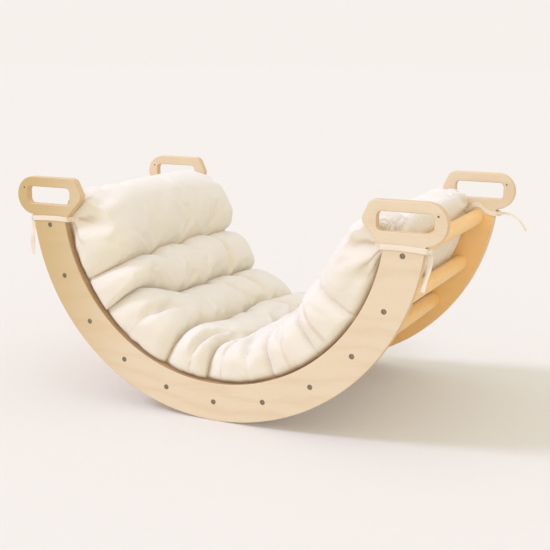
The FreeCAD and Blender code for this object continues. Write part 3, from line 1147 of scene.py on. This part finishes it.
@dataclass
class Cushion:
    """The long quilted cushion that lies in the arches, stuffed by simulation.

    Angles are in degrees from straight down, negative towards the left end. The full rows' radii,
    in millimetres, go with their angles, and so do the sags. The seams keep their middle angles
    over the middle share of the width, and turn towards those of an edge over the next share. A
    nip is a gather in the front edge: its angle and its reach. A lengthwise crease has its row,
    and its place across the seat at the row's two seams. Radii are from the arcs' axis.
    """

    back_radius: float = 0.3812
    half_width: float = 0.2520
    half_thickness: float = 0.050
    end_angle: float = 92.2
    mid_radius: float = 0.330
    rounding: float = 0.044
    back_rounding: float = 0.014
    seams: tuple[float, ...] = (-60.5, -38.0, -15.0, 3.0, 20.0, 38.0, 60.5)
    seams_front: tuple[float, ...] = (-58.5, -46.5, -18.0, -2.0, 20.5, 39.0, 56.0)
    seams_rear: tuple[float, ...] = (-58.5, -36.0, -10.0, 6.0, 21.0, 38.0, 60.5)
    seam_depths: tuple[float, ...] = (0.050, 0.046, 0.040, 0.032, 0.030, 0.024, 0.020)
    seam_lift: float = 0.006
    middle_share: float = 0.30
    turn_share: float = 0.65
    wing_calm: float = 0.65
    row_cells: tuple[int, ...] = (24, 20, 16, 16, 16, 16, 20, 24)
    width_cells: int = 60
    depth_cells: int = 12
    crowding: float = 0.3
    plumpness: float = 2.4
    full_angles: tuple[float, ...] = (
        -92, -87, -79, -70, -48, -28, -8, 12, 28, 42, 55, 70, 80, 88, 92
    )
    full_radii: tuple[float, ...] = (
        284, 250, 222, 206, 232, 250, 262, 266, 258, 238, 234, 246, 258, 278, 296
    )
    settling: float = 0.010
    scallop: float = 1.8
    tufts: tuple[float, ...] = (-0.127, 0.0, 0.127)
    tuft_width: float = 0.022
    tuft_depth: float = 0.008
    creases: tuple[tuple[int, float, float], ...] = (
        (1, 0.127, 0.127),
        (2, 0.020, 0.080),
        (2, 0.140, 0.145),
        (3, 0.090, 0.120),
        (4, 0.020, 0.040),
        (5, 0.115, 0.127),
    )
    crease_width: float = 0.010
    crease_share: float = 0.8
    nips: tuple[tuple[float, float], ...] = (
        (-34.0, 0.075), (-9.0, 0.095), (4.5, 0.085), (11.5, 0.115), (29.0, 0.050), (45.0, 0.040)
    )
    nip_width: float = 0.0065
    nip_lean: float = 40.0
    nip_middle: float = 6.0
    nip_depth: float = 1.2
    nip_start: float = 0.03
    sag_angles: tuple[float, ...] = (-90.0, -62.0, -30.0, 0.0, 40.0, 90.0)
    sags: tuple[float, ...] = (1.0, 3.0, 2.2, 0.3, -0.8, -0.8)
    wander_rate: float = 9.0
    wander_depth: float = 0.005
    ripple_rates: Point = (34.0, 5.0, 6.0)
    ripple_depth: float = 0.0035
    side_pull: float = 0.014
    ripple_pull: float = 0.004
    overhang: float = 0.020
    lap_radius: float = 0.3582
    lap_ramp: float = 0.005
    lap_top: float = -0.058
    lap_rise: float = 0.024
    corner_pinch: float = 0.018
    tie_x: float = 0.3516
    tie_z: float = 0.395
    pleats: float = 13.0
    pleat_start: float = 0.015
    pleat_length: float = 0.130
    pleat_depth: float = 0.0150
    pleat_drift: float = 5.0
    pleat_shift: float = 0.8
    stretch: float = 12.0
    shear: float = 4.0
    bending: float = 0.15
    cloth_mass: float = 0.3
    cloth_quality: int = 6
    sewn_crease: float = 0.9
    pressure: float = 3.0
    spare: float = 0.04
    frames: int = 20
    cap: float = 0.026
    side_gap: float = 0.0012
    rung_radius: float = 0.3826

    def __post_init__(self) -> None:
        """Cuts the blank, and works out what is read more than once for each of its vertices.

        A vertex has its places on the blank, its count of cells along the cushion, its row, its
        place from 0 to 1 between the row's seams, and its angle on the arc in radians.
        """
        self.blank = self._cut()
        self.along, self.across, self.up = points_of(self.blank.verts).T
        self.lines = np.cumsum((0,) + self.row_cells)
        self.step = (self.along + 1) / 2 * self.lines[-1]
        row = np.searchsorted(self.lines, self.step, side="right") - 1
        self.row = np.clip(row, 0, len(self.row_cells) - 1)
        start, stop = self.lines[self.row], self.lines[self.row + 1]
        self.within = (self.step - start) / (stop - start)
        self.wing = self._wing()
        self.full = self._fullness()
        self.creased = self._creased()
        self.tufted = self._tufted()
        self.angle = np.radians(self._angles())

    def build(self) -> None:
        """Builds the cushion."""
        for vertex, point in zip(self.blank.verts, self._laid()):
            vertex.co = point
        bmesh.ops.recalc_face_normals(self.blank, faces=self.blank.faces)
        if self.blank.calc_volume(signed=True) < 0.0:
            bmesh.ops.reverse_faces(self.blank, faces=self.blank.faces)
        piece = finished(self.blank, "quilted_cushion")
        self._remember(piece.data)
        self._stuff(piece)
        self._gather(piece)
        self._keep_clear(piece)
        soften(piece)
        dressed(piece, CottonFinish().material())
        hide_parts("cushion_cover", "cushion_filling")
        log.info("%s: %d vertices", piece.name, len(piece.data.vertices))

    def _cut(self) -> bmesh.types.BMesh:
        """Cuts a cube into the cushion's even cells.

        Returns:
            The blank, from -1 to 1 on each side.
        """
        build = bmesh.new()
        bmesh.ops.create_cube(build, size=2.0)
        counts = (sum(self.row_cells), self.width_cells, self.depth_cells)
        for axis, count in enumerate(counts):
            edges = [
                edge
                for edge in build.edges
                if abs(edge.verts[0].co[axis] - edge.verts[1].co[axis]) > 1.5
            ]
            bmesh.ops.subdivide_edges(build, edges=edges, cuts=count - 1, use_grid_fill=True)
        build.verts.index_update()
        return build

    def _crowded(self, within: np.ndarray) -> np.ndarray:
        """Brings places between two seams nearer to the seams."""
        return within - self.crowding * np.sin(FULL_TURN * within) / FULL_TURN

    def _angles(self) -> np.ndarray:
        """Turns places along the blank into angles, so that cell lines follow the seams.

        Returns:
            The angles in degrees.
        """
        start, stop = self.lines[self.row], self.lines[self.row + 1]
        step = start + self._crowded(self.within) * (stop - start)
        front, middle, rear = (
            np.interp(step, self.lines, (-self.end_angle, *inner, self.end_angle))
            for inner in (self.seams_front, self.seams, self.seams_rear)
        )
        to_front, to_rear = (
            share * share * (3 - 2 * share)
            for share in (
                fade(-self.across - self.middle_share, self.turn_share),
                fade(self.across - self.middle_share, self.turn_share),
            )
        )
        angle = middle + (front - middle) * to_front + (rear - middle) * to_rear
        left = self.step / self.row_cells[0]
        right = (self.lines[-1] - self.step) / self.row_cells[-1]
        inside = np.clip(np.minimum(left, right), 0, 1)
        arch = (1 - self.tufted) * (1 - self.full) * inside
        return angle + np.sign(angle + 1e-6) * self.scallop * arch

    def _fullness(self) -> np.ndarray:
        """How full the cushion is: 0 on a seam and 1 in the middle of a row.

        Returns:
            Each vertex's fullness.
        """
        within = np.where(self.row == 0, 0.5 + self.within / 2, self.within)
        within = np.where(self.row == len(self.row_cells) - 1, within / 2, within)
        return (1 - np.abs(2 * self._crowded(within) - 1) ** self.plumpness) ** 0.5

    def _creased(self) -> np.ndarray:
        """How deep the lengthwise creases and the front edge's nips are.

        Returns:
            Each vertex's depth from 0 to 1.
        """
        y = self.across * self.half_width
        depth = np.zeros(len(y))
        for row, start, stop in self.creases:
            share = fade(self.step - self.lines[row], self.row_cells[row])
            inside = (self.step >= self.lines[row]) & (self.step <= self.lines[row + 1])
            middle = start + (stop - start) * share
            strength = 0.55 + 0.45 * np.abs(2 * share - 1)
            line = np.exp(-(((y - middle) / self.crease_width) ** 2))
            depth = np.maximum(depth, inside * strength * line)
        stops = np.radians((-self.end_angle, *self.seams_front, self.end_angle))
        angle = np.degrees(np.interp(self.step, self.lines, stops))
        inwards = y + self.half_width
        for nip, reach in self.nips:
            lean = self.nip_lean * np.sign(nip - self.nip_middle)
            bend = nip - lean * (inwards - self.nip_start)
            place = np.radians(angle - bend) * self.mid_radius
            across = self.nip_depth * np.exp(-((place / self.nip_width) ** 2))
            depth = np.maximum(depth, across * np.clip(1 - inwards / reach, 0, 1) ** 0.7)
        return np.clip(depth, 0, 1)

    def _tufted(self) -> np.ndarray:
        """How near each vertex is to a tuft's place across the seat, from 0 to 1."""
        places = self.across[:, None] * self.half_width - np.array(self.tufts)
        return np.exp(-((places / self.tuft_width) ** 2)).max(axis=1)

    def _wing(self) -> np.ndarray:
        """Where the cloth runs on over a seam: 1 at the front of the right wing's top."""
        up = fade(self.step - self.lines[-3], self.lines[-2] - self.lines[-3])
        return up * fade(-self.across + 0.1, 0.6)

    def _rounded(self) -> np.ndarray:
        """Gives the blank its sizes and rounds its edges off.

        Returns:
            The places along, across and through the cushion, as if it were straight.
        """
        reach = math.radians(self.end_angle) * self.mid_radius
        half = np.array([reach, self.half_width, self.half_thickness])
        box = np.stack(
            [self.angle * self.mid_radius, self.across * half[1], self.up * half[2]], 1
        )
        upper = np.maximum(fade(self.up + 0.6, 1.3), fade(np.abs(self.along) - 0.90, 0.10))
        rounding = self.back_rounding + (self.rounding - self.back_rounding) * upper[:, None]
        core = np.clip(box, -(half - rounding), half - rounding)
        out = box - core
        length = np.linalg.norm(out, axis=1, keepdims=True)
        largest = np.abs(out).max(axis=1, keepdims=True)
        return core + np.where(length > 0, out / np.maximum(length, TINY) * largest, 0)

    def _laid(self) -> np.ndarray:
        """Lays the blank along the arc with its rows half full.

        Returns:
            The vertices' points.
        """
        box, full, side = self._rounded(), self.full, fade(np.abs(self.across) - 0.86, 0.14)
        depth = np.interp(self.step, self.lines[1:-1], self.seam_depths)
        depth *= 1 - self.wing_calm * self.wing
        sunk = np.maximum(1 - full, self.crease_share * self.creased) * depth
        sunk += self.tuft_depth * self.tufted * (1 - full) ** 2
        degrees = np.degrees(self.angle)
        base = np.interp(degrees, self.full_angles, self.full_radii) / 1000
        wander = noise_at(box * self.wander_rate)
        front = base + self.settling + sunk - self.wander_depth * wander
        back = self.back_radius - self.seam_lift * (1 - full)
        share = (box[:, 2] + self.half_thickness) / (2 * self.half_thickness)
        radius = back + (front - back) * share
        sag = np.radians(np.interp(degrees, self.sag_angles, self.sags))
        theta = box[:, 0] / self.mid_radius + sag * full * share
        ripple = noise_at(box * self.ripple_rates)
        radius += self.ripple_depth * ripple * side * np.clip(self.up + 1, 0, 1)
        pull = self.side_pull * (1 - full) + self.ripple_pull * np.abs(ripple)
        pull = pull * np.clip(self.up + 0.6, 0, 1) * side
        over = self.overhang * full**0.5 * fade(share - 0.12, 0.10) * side
        corner = fade(np.abs(self.along) - 0.92, 0.08) * fade(np.abs(self.across) - 0.75, 0.25)
        y = box[:, 1] + np.sign(self.across) * (over - pull - self.corner_pinch * corner)
        height = ARC_CENTRE_HEIGHT - radius * np.cos(theta)
        return np.stack([radius * np.sin(theta), y, height], 1)

    def _held(self) -> np.ndarray:
        """How firmly the cloth is sewn or held: 1 on seams, tufts and the outline.

        Returns:
            Each vertex's weight.
        """
        on_seam = np.abs(self.step[:, None] - self.lines[1:-1]).min(axis=1) < 0.25
        back, inner = self.up < -OUTER, self.up > OUTER
        weight = np.where(on_seam & (back | inner), 1.0 - 0.75 * self.wing, 0.0)
        weight = np.where(inner & (self.creased > 0.55), self.sewn_crease, weight)
        weight = np.where(back, np.maximum(weight, 0.5), weight)
        rim = (np.abs(self.along) > OUTER) | (np.abs(self.across) > OUTER)
        return np.where(back & rim, 1.0, weight)

    def _remember(self, mesh: bpy.types.Mesh) -> None:
        """Stores the cloth's own run, where painted shade lines its seams and creases, and its
        nearness to a seam.

        Args:
            mesh: The cushion's mesh.
        """
        depth = (1 - self.up) * self.half_thickness
        on_end = np.abs(self.along) > OUTER
        on_side = (np.abs(self.across) > OUTER) & ~on_end
        u = self.angle * self.mid_radius + np.sign(self.along) * depth * on_end
        v = self.across * self.half_width + np.sign(self.across) * depth * on_side
        run = np.stack([u, v, np.where(self.up < -OUTER, 1.0, 0.0)], 1)
        carry(mesh, "cloth_run", "FLOAT_VECTOR", run)
        # in_crease marks the painted shade along the seams, creases and nips.
        away = np.abs(self.step[:, None] - self.lines[1:-1]).min(axis=1)
        line = (1 - np.clip(away, 0, 1)) * (1 - 0.8 * self.wing)
        line = np.maximum(line, np.clip(self.creased * 1.6 - 0.6, 0, 1) * 0.62)
        carry(mesh, "in_crease", "FLOAT", np.where(self.up > -0.4, line, 0))
        # near_seam also drives painted shade, darkening the cloth near seams and creases.
        near = np.maximum((1 - self.full) ** 2, self.creased**2 * 0.7)
        carry(mesh, "near_seam", "FLOAT", np.clip(near, 0, 1))

    def _stuff(self, piece: bpy.types.Object) -> None:
        """Fills the cushion by cloth simulation and keeps the result in its mesh.

        Args:
            piece: The cushion.
        """
        held = piece.vertex_groups.new(name="sewn")
        for index, weight in enumerate(self._held()):
            if weight > 0:
                held.add([index], float(weight), "REPLACE")
        start = points_of(piece.data.vertices)
        cloth = piece.modifiers.new("stuffing", "CLOTH")
        cloth.settings.quality = self.cloth_quality
        cloth.settings.mass = self.cloth_mass
        cloth.settings.tension_stiffness = self.stretch
        cloth.settings.compression_stiffness = self.stretch
        cloth.settings.shear_stiffness = self.shear
        cloth.settings.bending_stiffness = self.bending
        cloth.settings.use_pressure = True
        cloth.settings.uniform_pressure_force = self.pressure
        cloth.settings.shrink_min = -self.spare
        cloth.settings.vertex_group_mass = held.name
        cloth.settings.effector_weights.gravity = 0.0
        cloth.collision_settings.use_collision = False
        cloth.point_cache.frame_start = 1
        cloth.point_cache.frame_end = self.frames
        scene = bpy.context.scene
        for step in range(1, self.frames + 1):
            scene.frame_set(step)
        view = bpy.context.evaluated_depsgraph_get()
        moved = points_of(piece.evaluated_get(view).data.vertices) - start
        piece.modifiers.remove(cloth)
        scene.frame_set(1)
        far = np.linalg.norm(moved, axis=1, keepdims=True)
        log.info("stuffing moved the cloth by up to %.1f mm", 1000 * far.max())
        reshape(piece.data, start + moved * np.minimum(1.0, self.cap / np.maximum(far, TINY)))

    def _gather(self, piece: bpy.types.Object) -> None:
        """Gathers the cloth into pleats that spread from the tie at each corner.

        Args:
            piece: The cushion.
        """
        points = points_of(piece.data.vertices)
        normals = np.array([tuple(vertex.normal) for vertex in piece.data.vertices], float)
        for side in Side:
            for end in End:
                tie = (end.value * self.tie_x, side.value * self.half_width, self.tie_z)
                span = points - np.array(tie)
                away = np.linalg.norm(span, axis=1)
                turn = np.arctan2(span[:, 2], np.hypot(span[:, 0], span[:, 1]))
                turn = self.pleats * turn + self.pleat_drift * away
                wave = 0.5 + 0.5 * np.cos(turn + self.pleat_shift * side.value)
                faded = fade(away, self.pleat_start) * np.clip(1 - away / self.pleat_length, 0, 1)
                points -= normals * (self.pleat_depth * wave**2 * faded)[:, None]
        reshape(piece.data, points)

    def _keep_clear(self, piece: bpy.types.Object) -> None:
        """Keeps the cushion on the rungs and off the panels, whose inner edges it laps over.

        Args:
            piece: The cushion.
        """
        points = points_of(piece.data.vertices)
        x, z = points[:, 0], points[:, 2] - ARC_CENTRE_HEIGHT
        radius = np.hypot(x, z)
        lap = fade(self.lap_radius - radius, self.lap_ramp)
        lap = lap * fade(self.lap_top - z, self.lap_rise)
        reach = PANEL_INNER_FACE - self.side_gap + self.overhang * lap
        allowed = np.minimum(radius, self.rung_radius)
        scale = np.where(z < 0.0, allowed / np.maximum(radius, TINY), 1.0)
        y = np.clip(points[:, 1], -reach, reach)
        reshape(piece.data, np.stack([x * scale, y, z * scale + ARC_CENTRE_HEIGHT], 1))


TailSizes = tuple[float, tuple[float, ...], tuple[Point, ...]]

TAILS: dict[tuple[Side, End], TailSizes] = {
    (Side.FRONT, End.LEFT): (
        0.0745,
        (0.0, 10.0, -15.0, 20.0),
        (
            (-0.4455, -0.264, 0.382),
            (-0.4455, -0.264, 0.367),
            (-0.4495, -0.266, 0.348),
            (-0.4485, -0.266, 0.328),
            (-0.4505, -0.264, 0.308),
        ),
    ),
    (Side.FRONT, End.RIGHT): (
        0.0696,
        (0.0, 15.0, 30.0, 20.0),
        (
            (0.4455, -0.264, 0.382),
            (0.4455, -0.264, 0.367),
            (0.4425, -0.267, 0.349),
            (0.4375, -0.268, 0.332),
            (0.4345, -0.271, 0.314),
        ),
    ),
    (Side.REAR, End.LEFT): (
        0.0748,
        (0.0, -20.0, 10.0, 30.0),
        (
            (-0.4455, 0.264, 0.382),
            (-0.4455, 0.264, 0.367),
            (-0.4505, 0.263, 0.348),
            (-0.4495, 0.266, 0.328),
            (-0.4525, 0.266, 0.308),
        ),
    ),
    (Side.REAR, End.RIGHT): (
        0.0718,
        (30.0, 16.0, 8.0, 14.0),
        (
            (0.450, 0.264, 0.3895),
            (0.464, 0.264, 0.3895),
            (0.480, 0.265, 0.3835),
            (0.496, 0.265, 0.3715),
            (0.507, 0.264, 0.3535),
        ),
    ),
}


def main() -> None:
    """Builds the scene."""
    logging.basicConfig(level=logging.INFO)
    Studio().build()
    WoodenFrame().dress()
    tape = TapeFinish().material()
    for (side, end), (length, turns, route) in TAILS.items():
        CornerTie(side, end, route, length, turns, tape).build()
    Cushion().build()


if __name__ == "__main__":
    main()
